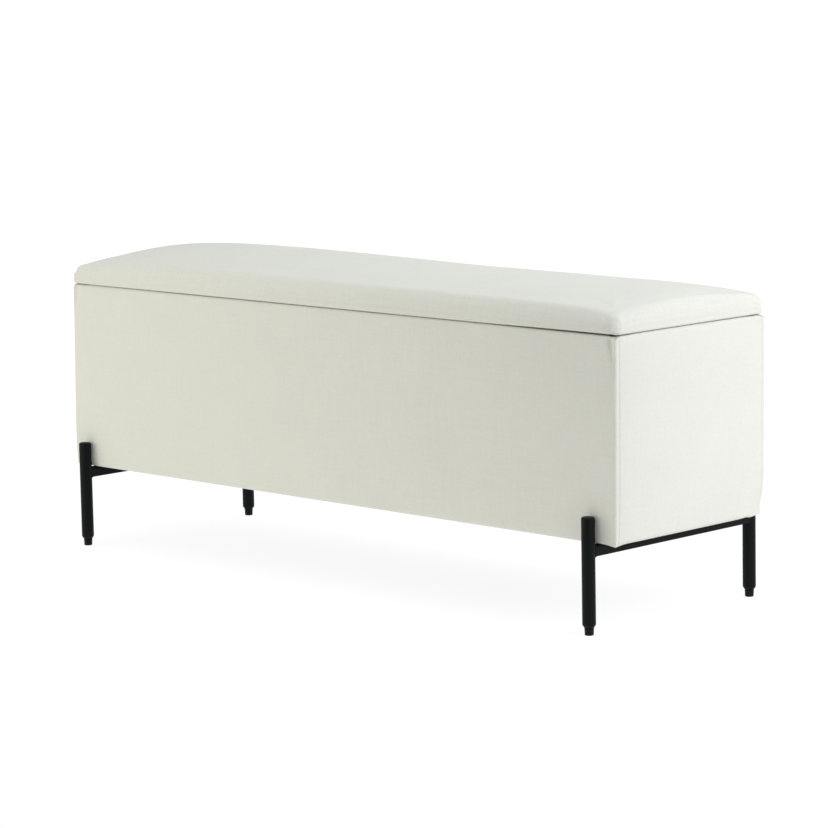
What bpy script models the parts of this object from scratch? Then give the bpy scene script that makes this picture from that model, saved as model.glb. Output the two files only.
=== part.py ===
"""Upholstered storage bench on a black steel frame, with a hinged lid held by two gas struts.

Metres, +Z up. X runs along the bench and the front faces -Y.
The origin is on the floor, under the middle of the bench.
"""
import math

import bmesh
import bpy
from mathutils import Matrix, Vector

# Driving dimensions of the bench
LENGTH = 1.200                # over the upholstered ends of the box
DEPTH = 0.340                 # over the upholstered front and back of the box
HEIGHT = 0.486                # floor to the top of the lid's crown
BOX_BOTTOM = 0.130            # floor to the underside of the box
RIM_TOP = 0.432               # floor to the top of the box's rim
LID_GAP = 0.003               # open line between the rim and the lid
FIT = 0.0003                  # gap between pieces that touch

# Layers of the box wall, from the outside in
COVER = 0.0012
PAD = 0.006
PANEL = 0.015
BOTTOM_BOARD = 0.012
LINING = 0.0008
DUST_CLOTH = 0.0005
BOX_CORNER = 0.014            # radius of the box's upright edges
HEM_RADIUS = 0.004            # the cover's turn at the rim and at the bottom
HEM_WIDTH = 0.028             # cover folded under the bottom
LIP_DEPTH = 0.032             # cover folded down inside the rim
BLOCK_LEG = 0.020             # corner block, measured along a panel
BLOCK_TOP = 0.390
CORNER_CUT = 0.014            # off the long walls' lower corners, where the cover is drawn in

# Lid
LID_INSET = 0.002             # the lid stands this far inside the box's faces
LID_CORNER = 0.016
LID_BOARD = 0.012
LID_HEM = 0.030
LID_LINING_INSET = 0.022
LID_LINING = 0.0006
FOAM_CLEAR = 0.001            # between the crown of the foam and its cover
CORNER_RISE = 0.023           # height of the lid's corners above the rim
LONG_EDGE_RISE = 0.0105       # extra height halfway along a long edge
SHORT_EDGE_RISE = 0.0125      # extra height halfway along a short edge
LENGTH_POWER = 6.0            # how flat the crown is along the bench
DEPTH_POWER = 2.0             # how flat the crown is across the bench
BUMPER_RADIUS = 0.006
BUMPER_INSET = 0.014

# Hinges: knuckles behind the rear face, leaves in the line between rim and lid
HINGE_CENTRES = {"left": -0.42, "centre": 0.0, "right": 0.42}
HINGE_LENGTH = 0.070
KNUCKLE_RADIUS = 0.003
KNUCKLE_BORE = 0.0016
PIN_RADIUS = 0.0013
PIN_HEAD = 0.0022
LEAF_REACH = 0.0215           # from the hinge axis to the leaf's front edge
LEAF = (LID_GAP - 3 * FIT) / 2

# Gas struts: both ball studs are the same distance from the lid's hinge axis
STRUT_X = 0.561
STRUT_ARM = 0.180             # hinge axis to either ball
LID_BALL_DROP = 0.0125        # the lid's ball below the hinge axis
BOX_BALL_ANGLE = math.radians(73)
BALL_RADIUS = 0.004
BALL_BORE = 0.0044
BALL_NECK = 0.0022
EYE_RADIUS = 0.0062
EYE_LENGTH = 0.010
CYLINDER_RADIUS = 0.0075
ROD_RADIUS = 0.003
BRACKET = 0.002

# Steel frame
LEG_X = 0.5565
LEG_Y = 0.1806
LEG_RADIUS = 0.0100
LEG_WALL = 0.0012
LEG_TOP = 0.1695
CAP_TOP = 0.1722
FOOT_HEIGHT = 0.0105
FOOT_RADIUS = 0.0070
BAR_WIDTH = 0.0175
BAR_HEIGHT = 0.016
BAR_WALL = 0.0015
BOLT_Y = 0.105
BOLT_RADIUS = 0.003
BOLT_HOLE = 0.0034
BOLT_HEAD = 0.005
BOLT_HEAD_RADIUS = 0.005
BOLT_ACCESS = 0.0056          # hole in the underside of the bar that the head goes in through

# Values that follow from the driving dimensions
HALF_X = LENGTH / 2
HALF_Y = DEPTH / 2
LID_X = HALF_X - LID_INSET
LID_Y = HALF_Y - LID_INSET
LID_BOTTOM = RIM_TOP + LID_GAP
PAD_FACE = COVER + FIT
PANEL_FACE = PAD_FACE + PAD + FIT
CAVITY_FACE = PANEL_FACE + PANEL
HEM_BOTTOM = BOX_BOTTOM + DUST_CLOTH + FIT
BOARD_BOTTOM = HEM_BOTTOM + COVER + FIT
BOARD_TOP = BOARD_BOTTOM + BOTTOM_BOARD
WALL_TOP = RIM_TOP - COVER - FIT
BAR_TOP = BOX_BOTTOM - FIT
HINGE_Y = HALF_Y + KNUCKLE_RADIUS + 0.0005
HINGE_Z = RIM_TOP + LID_GAP / 2
LID_BALL_Y = HINGE_Y - math.sqrt(STRUT_ARM ** 2 - LID_BALL_DROP ** 2)
LID_BALL_Z = HINGE_Z - LID_BALL_DROP
BOX_BALL_Y = HINGE_Y - STRUT_ARM * math.cos(BOX_BALL_ANGLE)
BOX_BALL_Z = HINGE_Z - STRUT_ARM * math.sin(BOX_BALL_ANGLE)
STRUT_CLOSED = math.hypot(LID_BALL_Y - BOX_BALL_Y, LID_BALL_Z - BOX_BALL_Z)

SIDES = {"left": -1, "right": 1}
ENDS = {"front": -1, "rear": 1}


# ---------------------------------------------------------------- scene helpers

def clear_scene():
    for obj in list(bpy.data.objects):
        bpy.data.objects.remove(obj, do_unlink=True)


def make_material(name, colour, roughness, metallic=0.0):
    material = bpy.data.materials.new(name)
    material.use_nodes = True
    shader = material.node_tree.nodes["Principled BSDF"]
    shader.inputs["Base Color"].default_value = (*colour, 1)
    shader.inputs["Roughness"].default_value = roughness
    shader.inputs["Metallic"].default_value = metallic
    material.diffuse_color = (*colour, 1)
    return material


def make_pivot(name, place):
    """An empty on a joint's axis, for the pieces that turn about it."""
    pivot = bpy.data.objects.new(name, None)
    pivot.location = place
    bpy.context.collection.objects.link(pivot)
    return pivot


def add_piece(name, mesh, material=None, pivot=None):
    """Make an object of a bmesh that is drawn in world coordinates."""
    data = bpy.data.meshes.new(name)
    mesh.to_mesh(data)
    mesh.free()
    data.shade_smooth()
    data.set_sharp_from_angle(angle=math.radians(35))
    if material:
        data.materials.append(material)
    piece = bpy.data.objects.new(name, data)
    bpy.context.collection.objects.link(piece)
    if pivot:
        data.transform(Matrix.Translation(-pivot.location))
        piece.parent = pivot
    return piece


def apply_tool(piece, tool_mesh, operation="DIFFERENCE"):
    """Cut a shape out of a piece, or join it on, with a hidden tool object."""
    tool = add_piece(f"tool_{len(piece.modifiers)}_{piece.name}", tool_mesh)
    if piece.parent:
        tool.data.transform(Matrix.Translation(-piece.parent.location))
        tool.parent = piece.parent
    tool.hide_render = True
    tool.display_type = "WIRE"
    boolean = piece.modifiers.new(operation.title(), "BOOLEAN")
    boolean.operation = operation
    boolean.solver = "EXACT"
    boolean.object = tool


# ---------------------------------------------------------------- mesh helpers

def bridge(mesh, first, second):
    """Join two rings of vertices with faces; a ring of one vertex is a pole."""
    count = max(len(first), len(second))
    for i in range(count):
        corners = []
        for vertex in (first[i % len(first)], first[(i + 1) % count % len(first)],
                       second[(i + 1) % count % len(second)], second[i % len(second)]):
            if vertex not in corners:
                corners.append(vertex)
        mesh.faces.new(corners)


def zip_ring(mesh, ring):
    """Close a long ring that is its own mirror image in Y with a strip of faces."""
    count = len(ring)
    for i in range(count // 2 - 1):
        mesh.faces.new((ring[i], ring[i + 1], ring[count - 2 - i], ring[count - 1 - i]))


def loft(rings, closed=False, zipped=False):
    """Skin a list of rings of points, as a closed loop or with both ends filled."""
    mesh = bmesh.new()
    loops = [[mesh.verts.new(point) for point in ring] for ring in rings]
    for first, second in zip(loops, loops[1:]):
        bridge(mesh, first, second)
    if closed:
        bridge(mesh, loops[-1], loops[0])
    else:
        for loop in (loops[0], loops[-1]):
            if zipped:
                zip_ring(mesh, loop)
            elif len(loop) > 1:
                mesh.faces.new(loop)
    bmesh.ops.recalc_face_normals(mesh, faces=mesh.faces)
    return mesh


def circle(radius, height, segments):
    """A ring of points round the Z axis, or a single point where the radius is 0."""
    if radius == 0:
        return [Vector((0, 0, height))]
    turns = [2 * math.pi * i / segments for i in range(segments)]
    return [Vector((radius * math.cos(a), radius * math.sin(a), height)) for a in turns]


def turned(profile, segments=24, closed=False):
    """Turn (radius, height) points round the Z axis."""
    return loft([circle(radius, height, segments) for radius, height in profile], closed)


def moved(mesh, place, direction=(0, 0, 1)):
    """Point a turned shape's Z axis along a direction and set its origin at a place."""
    turn = Vector((0, 0, 1)).rotation_difference(Vector(direction)).to_matrix().to_4x4()
    mesh.transform(Matrix.Translation(place) @ turn)
    return mesh


def rod_shape(radius, start, end, segments=16):
    """A plain cylinder between two points."""
    start = Vector(start)
    run = Vector(end) - start
    return moved(turned([(0, 0), (radius, 0), (radius, run.length), (0, run.length)], segments), start, run)


def box_shape(low, high):
    rings = []
    for z in (low[2], high[2]):
        rings.append([(low[0], low[1], z), (high[0], low[1], z), (high[0], high[1], z), (low[0], high[1], z)])
    return loft(rings)


def prism(outline, bottom, top):
    """Extrude an outline of (x, y) points upwards."""
    return loft([[(x, y, z) for x, y in outline] for z in (bottom, top)])


def divided(start, end, parts):
    """Points that divide a straight run into equal parts, without its two ends."""
    return [start.lerp(end, i / parts) for i in range(1, parts)]


def rounded_rectangle(half_x, half_y, radius, turn_steps=4, long_parts=1, short_parts=1):
    """Outline from the middle of the +X end round the +Y side, its own mirror image in Y."""
    quarter = []
    for i in range(turn_steps + 1):
        angle = math.pi / 2 * i / turn_steps
        quarter.append(Vector((half_x - radius + radius * math.cos(angle),
                               half_y - radius + radius * math.sin(angle))))
    middle = Vector((-1, 1))
    upper = divided(Vector((half_x, 0)), quarter[0], short_parts) + quarter
    upper += divided(quarter[-1], quarter[-1] * middle, long_parts)
    upper += [point * middle for point in reversed(quarter)]
    upper += divided(quarter[0] * middle, Vector((-half_x, 0)), short_parts)
    return upper + [Vector((point.x, -point.y)) for point in reversed(upper)]


# ---------------------------------------------------------------- wooden box

def long_wall(near, far):
    """A long wall of the box, with its two lower corners cut off."""
    end_x = HALF_X - PANEL_FACE
    right = [(end_x - CORNER_CUT, BOARD_BOTTOM), (end_x, BOARD_BOTTOM + CORNER_CUT), (end_x, WALL_TOP)]
    outline = right + [(-x, z) for x, z in reversed(right)]
    return loft([[(x, y, z) for x, z in outline] for y in (near, far)])


def box_walls(wood):
    end_x = HALF_X - PANEL_FACE
    face_y = HALF_Y - PANEL_FACE
    inner_x = HALF_X - CAVITY_FACE
    inner_y = HALF_Y - CAVITY_FACE
    for name, side in (("front_panel", -1), ("back_panel", 1)):
        near, far = sorted((side * inner_y, side * face_y))
        add_piece(name, long_wall(near, far), wood)
    for name, side in SIDES.items():
        near, far = sorted((side * inner_x, side * end_x))
        low = (near, FIT - inner_y, BOARD_BOTTOM)
        high = (far, inner_y - FIT, WALL_TOP)
        add_piece(f"{name}_panel", box_shape(low, high), wood)


def bolt_places():
    return [(x * LEG_X, y * BOLT_Y) for x in (-1, 1) for y in (-1, 1)]


def bottom_panel(wood):
    half_x = HALF_X - CAVITY_FACE - FIT
    half_y = HALF_Y - CAVITY_FACE - FIT
    shape = box_shape((-half_x, -half_y, BOARD_BOTTOM), (half_x, half_y, BOARD_TOP))
    panel = add_piece("bottom_panel", shape, wood)
    for x, y in bolt_places():
        apply_tool(panel, rod_shape(BOLT_HOLE, (x, y, BOX_BOTTOM), (x, y, BOARD_TOP + 0.01)))


def corner_blocks(wood):
    """Three-cornered glue blocks up the inside of the box's corners."""
    corner_x = HALF_X - CAVITY_FACE - FIT
    corner_y = HALF_Y - CAVITY_FACE - FIT
    outline = [(corner_x, corner_y), (corner_x - BLOCK_LEG, corner_y), (corner_x, corner_y - BLOCK_LEG)]
    for end, y_sign in ENDS.items():
        for side, x_sign in SIDES.items():
            corner = [(x * x_sign, y * y_sign) for x, y in outline]
            shape = prism(corner, BOARD_TOP + FIT, BLOCK_TOP)
            add_piece(f"corner_block_{end}_{side}", shape, wood)


# ---------------------------------------------------------------- padding and cloth of the box

def pad_outline(half_run, face, radius):
    """One foam sheet in plan: it turns the corners and meets its neighbours at 45 degrees."""
    turn = []
    for i in range(4):
        angle = math.radians(90 - 15 * i)
        turn.append((half_run - radius + radius * math.cos(angle), face - radius + radius * math.sin(angle)))
    turn[-1] = (turn[-1][0] - FIT, turn[-1][1])
    right = turn + [(half_run - PAD - FIT, face - PAD)]
    left = [(-u, v) for u, v in reversed(right)]
    return left + right


def box_pads(foam):
    bottom = BOX_BOTTOM + HEM_RADIUS + 0.002
    top = RIM_TOP - HEM_RADIUS - 0.002
    radius = BOX_CORNER - PAD_FACE
    long_pad = pad_outline(HALF_X - PAD_FACE, HALF_Y - PAD_FACE, radius)
    short_pad = pad_outline(HALF_Y - PAD_FACE, HALF_X - PAD_FACE, radius)
    for name, side in (("front_pad", -1), ("back_pad", 1)):
        add_piece(name, prism([(u, side * v) for u, v in long_pad], bottom, top), foam)
    for name, side in SIDES.items():
        add_piece(f"{name}_pad", prism([(side * v, u) for u, v in short_pad], bottom, top), foam)


def box_ring(inset, height):
    radius = max(BOX_CORNER - inset, 0.001)
    outline = rounded_rectangle(HALF_X - inset, HALF_Y - inset, radius)
    return [(point.x, point.y, height) for point in outline]


def box_cover(cloth):
    """One sleeve of cloth: hemmed under the bottom, round the sides and down inside the rim."""
    lip = CAVITY_FACE + FIT
    soft = HEM_RADIUS * 0.3
    profile = [
        (HEM_WIDTH, HEM_BOTTOM), (HEM_RADIUS, HEM_BOTTOM), (soft, HEM_BOTTOM + soft),
        (0, HEM_BOTTOM + HEM_RADIUS), (0, RIM_TOP - HEM_RADIUS), (soft, RIM_TOP - soft),
        (HEM_RADIUS, RIM_TOP), (lip + COVER, RIM_TOP), (lip + COVER, RIM_TOP - LIP_DEPTH),
        (lip, RIM_TOP - LIP_DEPTH), (lip, RIM_TOP - COVER), (HEM_RADIUS, RIM_TOP - COVER),
        (COVER, RIM_TOP - HEM_RADIUS), (COVER, HEM_BOTTOM + HEM_RADIUS), (HEM_RADIUS, HEM_BOTTOM + COVER),
        (HEM_WIDTH, HEM_BOTTOM + COVER),
    ]
    add_piece("box_cover", loft([box_ring(*point) for point in profile], closed=True), cloth)


def lining_outline(inset):
    """The cavity in plan: a rectangle whose corners are cut off by the corner blocks."""
    half_x = HALF_X - CAVITY_FACE - FIT - inset
    half_y = HALF_Y - CAVITY_FACE - FIT - inset
    cut = BLOCK_LEG + 2 * FIT - inset * (2 - math.sqrt(2))
    corner = [(half_x, half_y - cut), (half_x - cut, half_y)]
    left = [(-x, y) for x, y in reversed(corner)]
    upper = corner + left
    return upper + [(x, -y) for x, y in reversed(upper)]


def lining(cloth):
    """Thin cloth bag glued to the inside of the box, open at the top."""
    bottom = BOARD_TOP + FIT
    top = RIM_TOP - LIP_DEPTH - FIT
    levels = [(0, bottom), (0, top), (LINING, top), (LINING, bottom + LINING)]
    rings = [[(x, y, z) for x, y in lining_outline(inset)] for inset, z in levels]
    add_piece("box_lining", loft(rings), cloth)


def dust_cover(cloth):
    half_x = HALF_X - HEM_RADIUS - 0.010
    half_y = HALF_Y - HEM_RADIUS - 0.010
    shape = box_shape((-half_x, -half_y, BOX_BOTTOM), (half_x, half_y, BOX_BOTTOM + DUST_CLOTH))
    sheet = add_piece("dust_cover", shape, cloth)
    for x, y in bolt_places():
        apply_tool(sheet, rod_shape(BOLT_HOLE, (x, y, BOX_BOTTOM - 0.01), (x, y, BOX_BOTTOM + 0.01)))


# ---------------------------------------------------------------- lid

def crown_height(x, y):
    """Height of the lid's top face, full in the middle and lowest at the corners."""
    along = 1 - min(1, abs(x) / LID_X) ** LENGTH_POWER
    across = 1 - min(1, abs(y) / LID_Y) ** DEPTH_POWER
    middle_rise = HEIGHT - RIM_TOP - CORNER_RISE
    rise = LONG_EDGE_RISE * along * (1 - across) + SHORT_EDGE_RISE * across * (1 - along)
    return RIM_TOP + CORNER_RISE + rise + middle_rise * along * across


def lid_outline(inset):
    radius = max(LID_CORNER - inset, 0.002)
    return rounded_rectangle(LID_X - inset, LID_Y - inset, radius, 3, 10, 3)


def flat_ring(inset, height):
    return [(point.x, point.y, height) for point in lid_outline(inset)]


def crown_ring(inset, drop):
    """A ring on the lid's top face, or lowered from it."""
    return [(point.x, point.y, crown_height(point.x, point.y) - drop) for point in lid_outline(inset)]


def crown_rings(skin):
    """Rings from the lid's side over its shoulder to the ridge, set in by a skin's thickness."""
    shoulder = [(0, 0.009), (0.0012, 0.0045), (0.005, 0.0015), (0.012, 0)]
    rings = [crown_ring(skin + inset, skin + drop) for inset, drop in shoulder]
    ridge_inset = LID_Y - 0.012
    steps = 5
    for i in range(1, steps + 1):
        inset = shoulder[-1][0] + (ridge_inset - shoulder[-1][0]) * (i / steps)
        rings.append(crown_ring(inset, skin))
    return rings


def lid_cover(cloth, pivot):
    outside = [flat_ring(LID_HEM, LID_BOTTOM), flat_ring(0.003, LID_BOTTOM), flat_ring(0, LID_BOTTOM + 0.003)]
    inside = [flat_ring(LID_HEM, LID_BOTTOM + COVER), flat_ring(0.003, LID_BOTTOM + COVER),
              flat_ring(COVER, LID_BOTTOM + 0.003)]
    rings = list(reversed(inside + crown_rings(COVER))) + outside + crown_rings(0)
    add_piece("lid_cover", loft(rings, zipped=True), cloth, pivot)


def lid_foam(foam, pivot):
    bottom = LID_BOTTOM + COVER + FIT + LID_BOARD + FIT
    top = crown_rings(COVER + FOAM_CLEAR)[2:]
    base = flat_ring(0.006, bottom)
    add_piece("lid_foam", loft([base] + top, zipped=True), foam, pivot)


def lid_board(wood, pivot):
    bottom = LID_BOTTOM + COVER + FIT
    face = COVER + 2 * FIT
    chamfer = 0.003
    rings = [flat_ring(face + chamfer, bottom), flat_ring(face, bottom + chamfer)]
    rings.append(flat_ring(face + 0.001, bottom + LID_BOARD))
    add_piece("lid_board", loft(rings, zipped=True), wood, pivot)


def lid_lining(cloth, pivot):
    half_x = LID_X - LID_LINING_INSET
    half_y = LID_Y - LID_LINING_INSET
    top = LID_BOTTOM - FIT
    shape = box_shape((-half_x, -half_y, top - LID_LINING), (half_x, half_y, top))
    add_piece("lid_lining", shape, cloth, pivot)


def lid_bumpers(rubber, pivot):
    """Low rubber discs under the lid's corners, which keep the line between rim and lid open."""
    low = RIM_TOP + FIT
    high = LID_BOTTOM - FIT
    for end, y_sign in ENDS.items():
        for side, x_sign in SIDES.items():
            x = x_sign * (HALF_X - BUMPER_INSET)
            y = y_sign * (HALF_Y - BUMPER_INSET)
            shape = rod_shape(BUMPER_RADIUS, (x, y, low), (x, y, high))
            add_piece(f"lid_bumper_{end}_{side}", shape, rubber, pivot)


# ---------------------------------------------------------------- hinges

def knuckle_cutter(centre, start, end):
    """Room round the other leaf's knuckle."""
    reach = KNUCKLE_RADIUS + 0.0005
    return box_shape((centre + start, HINGE_Y - reach, HINGE_Z - 2 * reach),
                     (centre + end, HINGE_Y + 2 * reach, HINGE_Z + 2 * reach))


def hinge_leaf(name, centre, bottom, gaps, metal, pivot=None):
    """A flat leaf with its knuckles; gaps are the stretches left for the other leaf's knuckles."""
    half = HINGE_LENGTH / 2
    plate = box_shape((centre - half, HINGE_Y - LEAF_REACH, bottom), (centre + half, HINGE_Y, bottom + LEAF))
    leaf = add_piece(name, plate, metal, pivot)
    ends = [(centre + sign * half, HINGE_Y, HINGE_Z) for sign in (-1, 1)]
    apply_tool(leaf, rod_shape(KNUCKLE_RADIUS, *ends, 20), "UNION")
    overrun = Vector((0.001, 0, 0))
    apply_tool(leaf, rod_shape(KNUCKLE_BORE, Vector(ends[0]) - overrun, Vector(ends[1]) + overrun, 12))
    for start, end in gaps:
        apply_tool(leaf, knuckle_cutter(centre, start, end))


def hinge_pin(name, centre, metal):
    reach = HINGE_LENGTH / 2 + FIT
    head = 0.001
    profile = [(0, -reach - head), (PIN_HEAD, -reach - head), (PIN_HEAD, -reach), (PIN_RADIUS, -reach),
               (PIN_RADIUS, reach), (PIN_HEAD, reach), (PIN_HEAD, reach + head), (0, reach + head)]
    add_piece(name, moved(turned(profile, 12), (centre, HINGE_Y, HINGE_Z), (1, 0, 0)), metal)


def hinges(metal, pivot):
    third = HINGE_LENGTH / 6
    past_end = HINGE_LENGTH / 2 + 0.001
    middle_gap = [(-third - FIT, third + FIT)]
    outer_gaps = [(-past_end, -third), (third, past_end)]
    for place, centre in HINGE_CENTRES.items():
        hinge_leaf(f"hinge_{place}_box_leaf", centre, RIM_TOP + FIT, middle_gap, metal)
        hinge_leaf(f"hinge_{place}_lid_leaf", centre, LID_BOTTOM - FIT - LEAF, outer_gaps, metal, pivot)
        hinge_pin(f"hinge_{place}_pin", centre, metal)


# ---------------------------------------------------------------- gas struts

def ball_stud(plate_x, ball):
    """A ball on a neck that stands out of a bracket's upright plate."""
    inward = -1 if ball.x > 0 else 1
    neck_length = abs(plate_x - ball.x)
    steps = 5
    profile = [(0, 0), (BALL_NECK, 0)]
    for i in range(1, steps):
        angle = math.pi * (0.2 + 0.8 * i / steps)
        profile.append((BALL_RADIUS * math.sin(angle), neck_length - BALL_RADIUS * math.cos(angle)))
    profile.append((0, neck_length + BALL_RADIUS))
    return moved(turned(profile, 14), (plate_x, ball.y, ball.z), (inward, 0, 0))


def box_bracket(side, sign, ball, metal):
    """Plate on the end wall inside the box, with its ball stud near the rear edge."""
    wall_x = HALF_X - CAVITY_FACE - FIT - LINING - FIT
    inner, outer = sorted((sign * (wall_x - BRACKET), sign * wall_x))
    plate = box_shape((inner, ball.y - 0.034, ball.z - 0.009), (outer, ball.y + 0.004, ball.z + 0.009))
    bracket = add_piece(f"strut_{side}_box_bracket", plate, metal)
    apply_tool(bracket, ball_stud(sign * (wall_x - BRACKET / 2), ball), "UNION")


def lid_bracket(side, sign, ball, metal, pivot):
    """Plate under the lid with an upright ear, which carries the upper ball stud."""
    top = LID_BOTTOM - FIT - LID_LINING - FIT
    ear_x = STRUT_X + 0.0132
    low_x, high_x = sorted((sign * (STRUT_X - 0.013), sign * ear_x))
    plate = box_shape((low_x, ball.y - 0.018, top - BRACKET), (high_x, ball.y + 0.018, top))
    bracket = add_piece(f"strut_{side}_lid_bracket", plate, metal, pivot)
    near, far = sorted((sign * (ear_x - BRACKET), sign * ear_x))
    ear = box_shape((near, ball.y - 0.007, ball.z - 0.006), (far, ball.y + 0.007, top - BRACKET / 2))
    apply_tool(bracket, ear, "UNION")
    apply_tool(bracket, ball_stud(sign * (ear_x - BRACKET / 2), ball), "UNION")


def add_eye(piece, ball):
    """Socket round a ball stud at the end of a strut."""
    half = Vector((EYE_LENGTH / 2, 0, 0))
    apply_tool(piece, rod_shape(EYE_RADIUS, ball - half, ball + half, 20), "UNION")
    apply_tool(piece, rod_shape(BALL_BORE, ball - 2 * half, ball + 2 * half))


def strut_rod(side, box_ball, run, metal):
    """Rod with its piston, from the eye on the box up into the cylinder."""
    end = 0.170
    piston = 0.0055
    profile = [(0, 0.005), (ROD_RADIUS, 0.005), (ROD_RADIUS, end - 0.007), (piston, end - 0.007),
               (piston, end), (0, end)]
    pivot = make_pivot(f"strut_{side}_rod_pivot", box_ball)
    rod = add_piece(f"strut_{side}_rod", moved(turned(profile, 16), box_ball, run), metal, pivot)
    add_eye(rod, box_ball)


def strut_cylinder(side, lid_ball, run, metal, lid_pivot):
    """Cylinder with its gland, hung from the eye on the lid; the gland's bore is open for the rod."""
    gland = STRUT_CLOSED - 0.012
    shoulder = 0.009
    bore = CYLINDER_RADIUS - 0.0013
    mouth = ROD_RADIUS + 0.0006
    neck = 0.0035
    profile = [(0, 0.005), (neck, 0.005), (neck, shoulder - 0.0005), (CYLINDER_RADIUS - 0.0015, shoulder),
               (CYLINDER_RADIUS, shoulder + 0.002), (CYLINDER_RADIUS, gland - 0.001),
               (CYLINDER_RADIUS - 0.001, gland), (mouth, gland), (mouth, gland - 0.006), (bore, gland - 0.006),
               (bore, shoulder + 0.005), (0, shoulder + 0.005)]
    pivot = make_pivot(f"strut_{side}_cylinder_pivot", lid_ball)
    pivot.parent = lid_pivot
    pivot.matrix_parent_inverse = Matrix.Translation(-lid_pivot.location)
    shape = moved(turned(profile, 20), lid_ball, -run)
    cylinder = add_piece(f"strut_{side}_cylinder", shape, metal, pivot)
    add_eye(cylinder, lid_ball)


def gas_struts(zinc, black, chrome, pivot):
    for side, sign in SIDES.items():
        box_ball = Vector((sign * STRUT_X, BOX_BALL_Y, BOX_BALL_Z))
        lid_ball = Vector((sign * STRUT_X, LID_BALL_Y, LID_BALL_Z))
        run = lid_ball - box_ball
        box_bracket(side, sign, box_ball, zinc)
        lid_bracket(side, sign, lid_ball, zinc, pivot)
        strut_rod(side, box_ball, run, chrome)
        strut_cylinder(side, lid_ball, run, black, pivot)


# ---------------------------------------------------------------- steel frame

def leg_tube(name, place, steel):
    """Round tube, drawn in at its foot and open at both ends."""
    inner = LEG_RADIUS - LEG_WALL
    foot = FOOT_HEIGHT + FIT
    profile = [(0.0073, foot), (LEG_RADIUS, foot + 0.004), (LEG_RADIUS, LEG_TOP), (inner, LEG_TOP),
               (inner, foot + 0.005), (0.0061, foot + 0.001), (0.0061, foot)]
    add_piece(name, moved(turned(profile, closed=True), place), steel)


def leg_cap(name, place, plastic):
    """Domed plug in the top of a leg."""
    stem = LEG_RADIUS - LEG_WALL - FIT
    edge = LEG_TOP + FIT
    profile = [(0, edge - 0.010), (stem, edge - 0.010), (stem, edge), (LEG_RADIUS, edge),
               (LEG_RADIUS - 0.0007, edge + 0.0009), (LEG_RADIUS * 0.6, CAP_TOP - 0.0003), (0, CAP_TOP)]
    add_piece(name, moved(turned(profile), place), plastic)


def glide(name, place, plastic):
    """Stepped foot with a stem that is pressed into the leg."""
    profile = [(0, 0), (FOOT_RADIUS - 0.0010, 0), (FOOT_RADIUS - 0.0004, 0.0008), (FOOT_RADIUS, FOOT_HEIGHT),
               (0.0057, FOOT_HEIGHT), (0.0057, FOOT_HEIGHT + 0.010), (0, FOOT_HEIGHT + 0.010)]
    add_piece(name, moved(turned(profile), place), plastic)


def crossbar(side, sign, steel):
    """Rectangular tube under one end of the box, shaped at both ends to fit the legs."""
    x = sign * LEG_X
    middle = BAR_TOP - BAR_HEIGHT / 2
    rings = []
    for shrink, radius in ((0, 0.0025), (BAR_WALL, 0.0012)):
        outline = rounded_rectangle(BAR_WIDTH / 2 - shrink, BAR_HEIGHT / 2 - shrink, radius, 3)
        ends = [[(x + point.x, y, middle + point.y) for point in outline] for y in (-LEG_Y, LEG_Y)]
        rings += ends if shrink == 0 else reversed(ends)
    bar = add_piece(f"crossbar_{side}", loft(rings, closed=True), steel)
    for y in (-LEG_Y, LEG_Y):
        apply_tool(bar, rod_shape(LEG_RADIUS + FIT, (x, y, 0.05), (x, y, 0.2), 24))
    for y in (-BOLT_Y, BOLT_Y):
        apply_tool(bar, rod_shape(BOLT_ACCESS, (x, y, 0.05), (x, y, middle)))
        apply_tool(bar, rod_shape(BOLT_HOLE, (x, y, middle), (x, y, 0.2)))


def frame_bolt(name, place, steel):
    """Socket-headed bolt inside the crossbar, up through its top wall into the bottom board."""
    seat = BAR_TOP - BAR_WALL - FIT
    face = seat - BOLT_HEAD
    head = BOLT_HEAD_RADIUS
    profile = [(0, face + 0.002), (0.0022, face + 0.002), (0.0022, face), (head - 0.001, face),
               (head, face + 0.001), (head, seat), (BOLT_RADIUS, seat), (BOLT_RADIUS, BOARD_TOP - 0.001),
               (0, BOARD_TOP - 0.001)]
    add_piece(name, moved(turned(profile, 16), place), steel)


def steel_frame(steel, plastic, zinc):
    for side, x_sign in SIDES.items():
        crossbar(side, x_sign, steel)
        for end, y_sign in ENDS.items():
            place = (x_sign * LEG_X, y_sign * LEG_Y, 0)
            leg_tube(f"leg_{end}_{side}", place, steel)
            leg_cap(f"leg_cap_{end}_{side}", place, plastic)
            glide(f"glide_{end}_{side}", place, plastic)
            bolt_place = (x_sign * LEG_X, y_sign * BOLT_Y, 0)
            frame_bolt(f"frame_bolt_{end}_{side}", bolt_place, zinc)


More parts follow.
